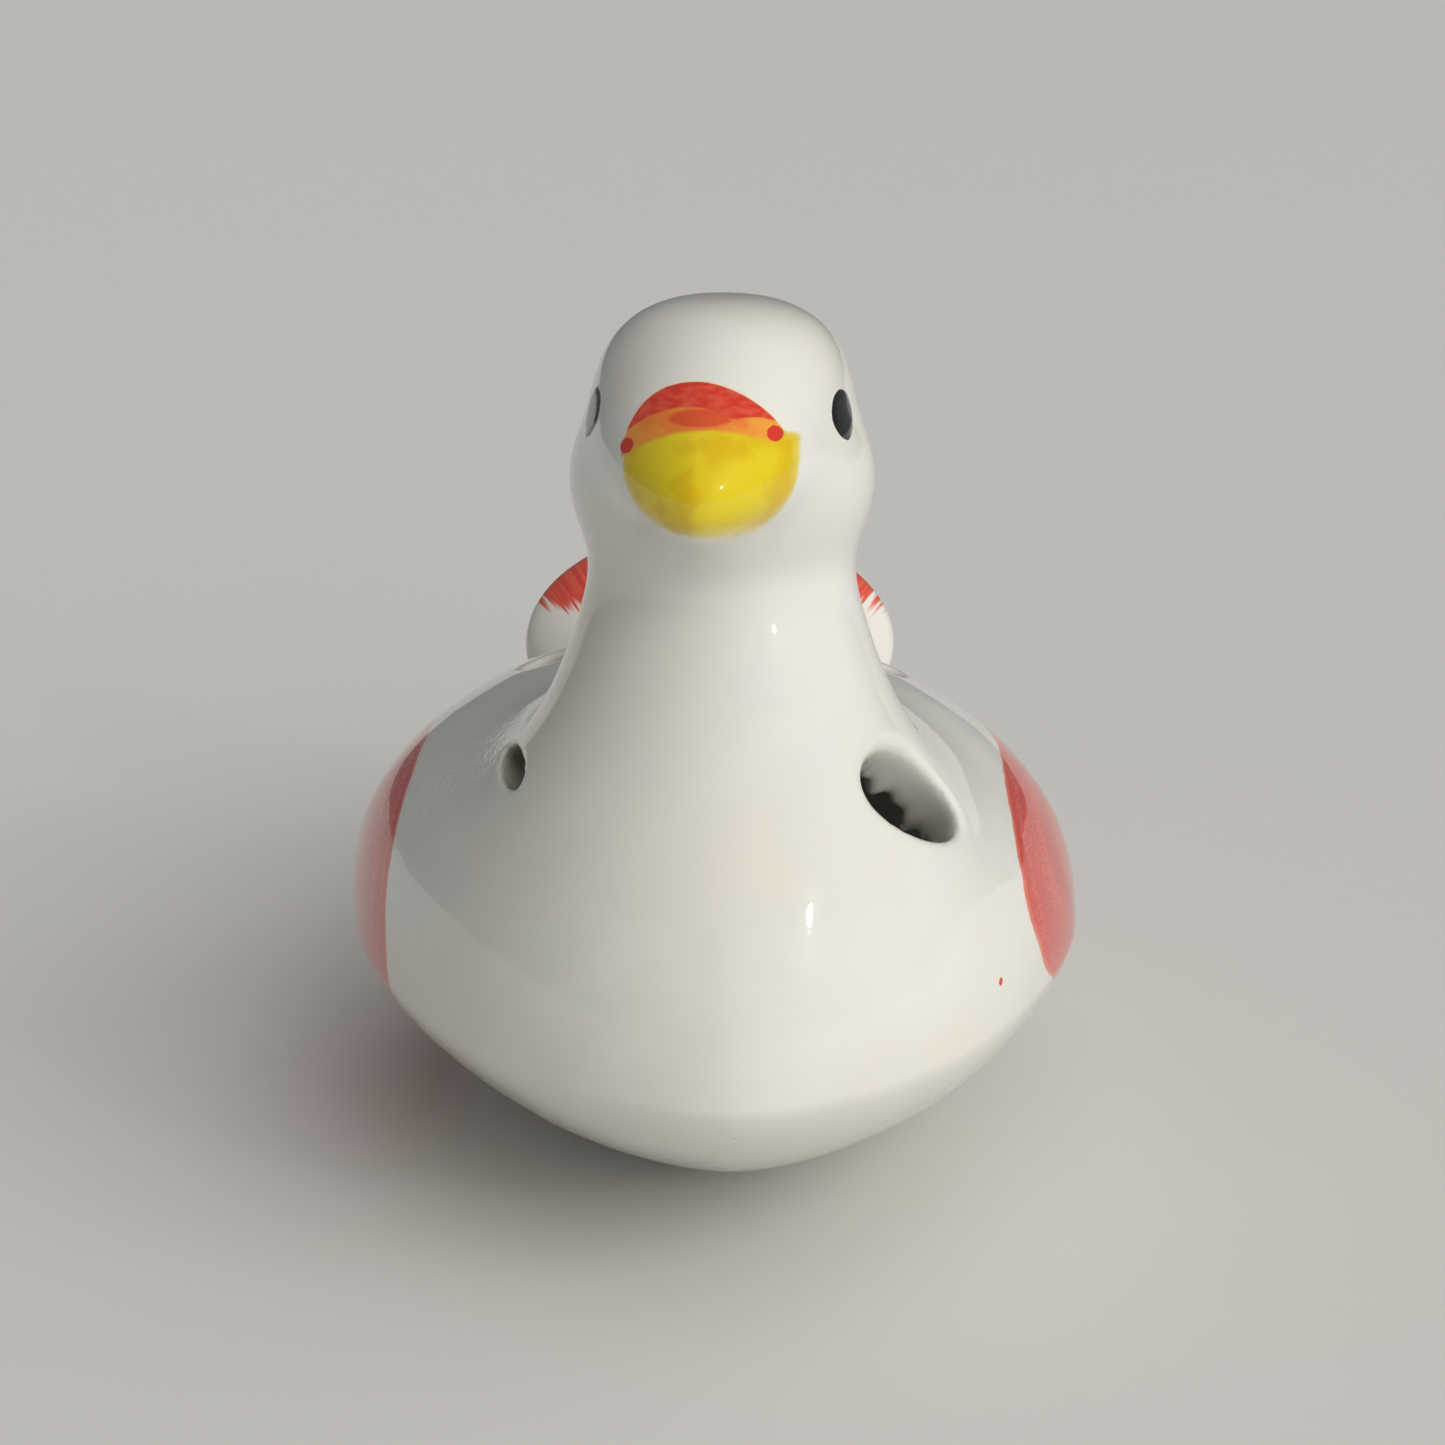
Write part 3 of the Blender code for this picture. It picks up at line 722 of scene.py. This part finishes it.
def points_of(mesh):
    points = np.empty(3 * len(mesh.vertices))
    mesh.vertices.foreach_get("co", points)
    return points.reshape(-1, 3)


# ---------------------------------------------------------------- materials


class Glaze:
    """Builds one material: white glaze with layers of colour laid over it."""

    def __init__(self, name):
        self.material = bpy.data.materials.new(name)
        self.material.use_nodes = True
        self.tree = self.material.node_tree
        self.shader = self.tree.nodes["Principled BSDF"]
        self.place = self.node("TexCoord").outputs["Object"]
        self.colour = None

    def node(self, kind, inputs=(), **settings):
        made = self.tree.nodes.new("ShaderNode" + kind)
        for key, value in settings.items():
            setattr(made, key, value)
        for key, value in dict(inputs).items():
            if isinstance(value, bpy.types.NodeSocket):
                self.tree.links.new(value, made.inputs[key])
            else:
                made.inputs[key].default_value = value
        return made

    def value(self, name):
        return self.node("Attribute", attribute_name=name, attribute_type="GEOMETRY").outputs["Fac"]

    def math(self, operation, a, b=0.0):
        return self.node("Math", {0: a, 1: b}, operation=operation).outputs[0]

    def times(self, a, b):
        return self.math("MULTIPLY", a, b)

    def plus(self, a, b):
        return self.math("ADD", a, b)

    def waver(self, noise, reach):
        """A noise turned into millimetres to either side of zero."""
        return self.times(self.math("SUBTRACT", noise, 0.5), reach)

    def step(self, value, low, high):
        """0 below low, 1 above high, smooth between."""
        made = self.node("MapRange", {"Value": value, "From Min": low, "From Max": high})
        made.interpolation_type = "SMOOTHSTEP"
        return made.outputs["Result"]

    def noise(self, scale, detail=2.0, at=None, stretch=None, roughness=0.5):
        """Noise from 0 to 1; scale is in cycles per millimetre."""
        where = at or self.place
        per_metre = 1 / MM if at is None else 1.0
        if stretch:
            where = self.node("Mapping", {"Vector": where, "Scale": stretch}).outputs[0]
        made = self.node(
            "TexNoise",
            {"Vector": where, "Scale": scale * per_metre, "Detail": detail, "Roughness": roughness},
        )
        return made.outputs["Fac"]

    def join(self, x, y=0.0, z=0.0):
        return self.node("CombineXYZ", {"X": x, "Y": y, "Z": z}).outputs[0]

    def mix(self, share, low, high):
        """A colour share of the way from low to high."""
        made = self.node("Mix", {0: share}, data_type="RGBA")
        for socket, colour in ((6, low), (7, high)):
            if isinstance(colour, bpy.types.NodeSocket):
                self.tree.links.new(colour, made.inputs[socket])
            else:
                made.inputs[socket].default_value = (*colour, 1)
        return made.outputs[2]

    def lay(self, share, colour):
        self.colour = self.mix(share, self.colour, colour)

    def finish(self):
        self.tree.links.new(self.colour, self.shader.inputs["Base Color"])
        return self.material


WHITE = (0.76, 0.755, 0.70)
WARM_WHITE = (0.74, 0.715, 0.635)
COOL_WHITE = (0.71, 0.72, 0.69)
SPECK = (0.34, 0.31, 0.28)
RED, DEEP_RED, SALMON = (0.64, 0.036, 0.018), (0.48, 0.016, 0.009), (0.72, 0.090, 0.048)
ORANGE, GOLD, PALE_ORANGE = (0.76, 0.20, 0.03), (0.82, 0.33, 0.045), (0.80, 0.26, 0.12)
YELLOW, DEEP_YELLOW, THIN_YELLOW = (0.74, 0.58, 0.012), (0.68, 0.46, 0.004), (0.72, 0.66, 0.25)
BLACK = (0.004, 0.004, 0.004)
BRUSHED_AT, BRUSHED_REACH = (-20.0, -17.0, 36.5), 13.0


def brush_marks(g):
    """Ridges that a brush left under the glaze on the duck's right shoulder, as a height."""
    middle = [at * MM for at in BRUSHED_AT]
    away = g.node("VectorMath", {0: g.place, 1: middle}, operation="DISTANCE").outputs["Value"]
    marks = g.noise(1.4, 3.0, stretch=(0.5, 0.8, 2.2))
    return g.times(g.times(marks, 9.0), g.step(away, BRUSHED_REACH * MM, 0.0))


def white_glaze(name, rough_patch=False):
    """Glossy white glaze over clay: uneven in tone, with a few specks and a faint ripple."""
    g = Glaze(name)
    tone = g.noise(0.045, 3.0)
    g.colour = g.mix(g.step(tone, 0.35, 0.68), WHITE, WARM_WHITE)
    g.lay(g.times(g.step(g.noise(0.11, 4.0), 0.48, 0.7), 0.5), COOL_WHITE)
    dust = g.node("TexVoronoi", {"Vector": g.place, "Scale": 0.24 / MM})
    chosen = g.math("GREATER_THAN", g.noise(0.9, 0.0), 0.63)
    speck = g.times(g.step(dust.outputs["Distance"], 0.055, 0.02), chosen)
    g.lay(g.times(speck, 0.55), SPECK)
    g.shader.inputs["Roughness"].default_value = 0.22
    g.shader.inputs["IOR"].default_value = 1.5
    g.shader.inputs["Specular IOR Level"].default_value = 0.2
    g.shader.inputs["Coat Weight"].default_value = 1.0
    g.shader.inputs["Coat IOR"].default_value = 1.52
    coat = g.node("MapRange", {"Value": g.noise(0.5, 3.0), "To Min": 0.01, "To Max": 0.03})
    g.tree.links.new(coat.outputs[0], g.shader.inputs["Coat Roughness"])
    ripple = g.plus(g.noise(0.22, 2.0), g.times(g.noise(1.3, 2.0), 0.12))
    if rough_patch:
        ripple = g.plus(ripple, brush_marks(g))
    bump = g.node("Bump", {"Height": ripple, "Strength": 0.25, "Distance": 0.05 * MM})
    for socket in ("Normal", "Coat Normal"):
        g.tree.links.new(bump.outputs[0], g.shader.inputs[socket])
    return g


def body_glaze():
    g = white_glaze("white_glaze_with_red_wings", rough_patch=True)
    depth = g.value("wing_in")
    wobble = g.waver(g.noise(0.35, 3.0), 0.3)
    inside = g.plus(depth, wobble)
    place = g.node("SeparateXYZ", {0: g.place}).outputs
    stroke = g.join(g.times(depth, 0.9), g.times(place["Z"], 0.10 / MM))
    streak = g.noise(1.0, 3.0, at=stroke)
    hatch = g.join(g.times(place["Y"], 0.9 / MM), g.times(place["Z"], 5.0 / MM))
    weave = g.noise(1.0, 2.0, at=hatch)
    red = g.mix(g.step(streak, 0.34, 0.55), SALMON, RED)
    red = g.mix(g.times(g.step(weave, 0.42, 0.6), 0.7), red, DEEP_RED)
    line = g.math("ABSOLUTE", g.math("SUBTRACT", depth, g.plus(3.2, g.times(streak, 1.6))))
    red = g.mix(g.times(g.step(line, 0.9, 0.1), 0.75), red, DEEP_RED)
    red = g.mix(g.times(g.step(inside, 0.32, 0.1), 0.5), red, PALE_ORANGE)
    g.lay(g.step(inside, -0.05, 0.06), red)
    g.lay(g.step(g.plus(g.value("fleck_in"), wobble), 0.0, 0.12), RED)
    return g.finish()


def head_glaze(name):
    """The head's and the bill's glaze: painted red, orange and yellow, black eyes."""
    g = white_glaze(name)
    wobble = g.waver(g.noise(0.7, 3.0), 0.35)
    cloud = g.noise(0.28, 4.0)
    on_bill = g.plus(g.value("on_bill"), wobble)
    arch = g.value("arch_in")
    yellow = g.mix(g.step(cloud, 0.42, 0.62), YELLOW, DEEP_YELLOW)
    bowl = g.plus(g.value("bowl_in"), wobble)
    thin = g.times(g.step(bowl, 0.8, 0.0), 0.4)
    yellow = g.mix(thin, yellow, THIN_YELLOW)
    g.lay(g.step(bowl, -0.2, 0.25), yellow)
    above = g.plus(g.value("above_yellow"), wobble)
    band = g.mix(g.step(cloud, 0.4, 0.6), ORANGE, GOLD)
    band = g.mix(g.times(g.step(g.value("blotch_in"), 0.0, 0.25), 0.7), band, RED)
    red = g.mix(g.step(g.noise(0.9, 3.0, stretch=(1, 1, 3)), 0.35, 0.7), RED, SALMON)
    above_orange = g.plus(g.value("above_orange"), g.times(wobble, 0.4))
    band = g.mix(g.step(above_orange, -0.1, 0.1), band, red)
    under_arch = g.plus(arch, g.times(wobble, 0.2))
    top = g.times(g.step(above, -0.25, 0.2), g.step(under_arch, -0.04, 0.06))
    top = g.times(top, g.step(on_bill, -1.6, -1.2))
    g.lay(top, band)
    g.lay(g.step(g.value("nostril_in"), -0.03, 0.05), RED)
    g.lay(g.step(g.value("eye_in"), -0.03, 0.05), BLACK)
    return g.finish()


def tail_glaze():
    g = white_glaze("white_glaze_with_red_tail")
    across = g.value("tail_across")
    past = g.value("tail_red")
    coarse = g.noise(1.0, 1.0, at=g.join(g.times(across, 0.5)))
    fine = g.noise(1.0, 1.0, at=g.join(g.times(across, 1.9), g.times(past, 0.12)))
    reach = g.plus(g.waver(coarse, 3.5), g.waver(fine, 6.0))
    inside = g.plus(past, reach)
    red = g.mix(g.step(fine, 0.35, 0.65), RED, SALMON)
    g.lay(g.times(g.step(inside, -0.5, 0.6), 0.97), red)
    return g.finish()


# ---------------------------------------------------------------- pieces

PIECES = {
    "body": ("glazed_body", ("left_body_shell", "right_body_shell", "voicing_edge"), "left_body_shell"),
    "head": ("glazed_head", ("left_head_shell", "right_head_shell"), "left_head_shell"),
    "bill": ("glazed_bill", ("bill",), "bill"),
    "tail": (
        "glazed_tail_mouthpiece",
        ("tail_mouthpiece_roof", "tail_mouthpiece_floor"),
        "tail_mouthpiece_roof",
    ),
}


def painted_values(key, points):
    if key == "body":
        return {"wing_in": wing_inside(points), "fleck_in": fleck_inside(points)}
    if key == "tail":
        return tail_paint(points)
    return {**bill_paint(points), "eye_in": eye_inside(points)}


def make_pieces():
    materials = {
        "body": body_glaze(),
        "head": head_glaze("white_glaze_with_black_eyes"),
        "bill": head_glaze("bill_glaze"),
        "tail": tail_glaze(),
    }
    for key, mesh in split_skin(*skin_mesh()).items():
        name, nodes, slot = PIECES[key]
        add_values(mesh, painted_values(key, points_of(mesh)))
        shade_from_form(mesh)
        mesh.transform(Matrix.Scale(MM, 4) @ Matrix.Translation(PLACE))
        mesh.name = name
        mesh.materials.append(materials[key])
        piece = bpy.data.objects.new(name, mesh)
        bpy.context.scene.collection.objects.link(piece)
        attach(piece, "root")
        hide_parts(*nodes)


# ---------------------------------------------------------------- stage

CAMERA_RISE, CAMERA_SIDE = math.radians(17.0), math.radians(-1.5)
CAMERA_AIM, CAMERA_DISTANCE = (0.0, 0.0, 34.0), 240.0
CAMERA_LENS, CAMERA_SHIFT = 68.5, (0.0056, -0.0009)


def make_camera():
    flat = math.cos(CAMERA_RISE)
    back = Vector((math.sin(CAMERA_SIDE) * flat, -math.cos(CAMERA_SIDE) * flat, math.sin(CAMERA_RISE)))
    data = bpy.data.cameras.new("camera")
    data.lens = CAMERA_LENS
    data.sensor_width = 36.0
    data.shift_x, data.shift_y = CAMERA_SHIFT
    data.clip_start = 0.01
    camera = bpy.data.objects.new("camera", data)
    aim = Vector(PLACE) + Vector(CAMERA_AIM)
    camera.location = (aim + back * CAMERA_DISTANCE) * MM
    camera.rotation_euler = back.to_track_quat("Z", "Y").to_euler()
    bpy.context.scene.collection.objects.link(camera)
    bpy.context.scene.camera = camera


def make_sun(name, direction, strength, colour, spread, mirrored=True):
    data = bpy.data.lights.new(name, "SUN")
    data.energy = strength
    data.color = colour
    data.angle = math.radians(spread)
    lamp = bpy.data.objects.new(name, data)
    lamp.rotation_euler = Vector(direction).to_track_quat("Z", "Y").to_euler()
    lamp.visible_glossy = mirrored
    bpy.context.scene.collection.objects.link(lamp)


FLOOR_COLOUR, FLOOR_ROUGHNESS = (0.70, 0.69, 0.66), 0.9
FLOOR_SIZE, FLOOR_SINK = 12.0, 0.02  # metres across, and millimetres below the foot


def make_floor():
    """A plain pale floor."""
    bpy.ops.mesh.primitive_plane_add(size=FLOOR_SIZE, location=(0, 0, -FLOOR_SINK * MM))
    floor = bpy.context.object
    floor.name = "floor"
    material = bpy.data.materials.new("pale_floor")
    material.use_nodes = True
    shader = material.node_tree.nodes["Principled BSDF"]
    shader.inputs["Base Color"].default_value = (*FLOOR_COLOUR, 1)
    shader.inputs["Roughness"].default_value = FLOOR_ROUGHNESS
    floor.data.materials.append(material)


# Soft lamps: direction towards the lamp, strength, colour, spread in degrees
SOFT_LAMPS = {
    "window": ((0.65, -0.71, 0.30), 2.5, (1.0, 0.98, 0.95), 70.0),
    "ceiling": ((0.40, -0.15, 0.90), 1.1, (1.0, 0.99, 0.98), 90.0),
}
# A hanging lamp, small enough to show as a glint in the glaze
GLINT = ((0.67, -0.64, 0.38), 0.12, (1.0, 0.97, 0.92), 2.5)
BACKDROP, SKY_STRENGTH, BACKDROP_SHOWN = (0.97, 0.98, 1.0), 0.15, 1.0


def make_light():
    for name, lamp in SOFT_LAMPS.items():
        make_sun(name, *lamp, mirrored=False)
    make_sun("hanging_lamp", *GLINT)
    world = bpy.data.worlds.new("studio")
    world.use_nodes = True
    nodes, links = world.node_tree.nodes, world.node_tree.links
    background = nodes["Background"]
    background.inputs["Color"].default_value = (*BACKDROP, 1)
    seen = nodes.new("ShaderNodeLightPath")
    strength = nodes.new("ShaderNodeMapRange")
    strength.inputs["To Min"].default_value = SKY_STRENGTH
    strength.inputs["To Max"].default_value = BACKDROP_SHOWN
    links.new(seen.outputs["Is Camera Ray"], strength.inputs["Value"])
    links.new(strength.outputs[0], background.inputs["Strength"])
    bpy.context.scene.world = world
    bpy.context.scene.view_settings.view_transform = "Standard"


PLACE = place_of_layout()
check_form()
make_pieces()
make_camera()
make_floor()
make_light()
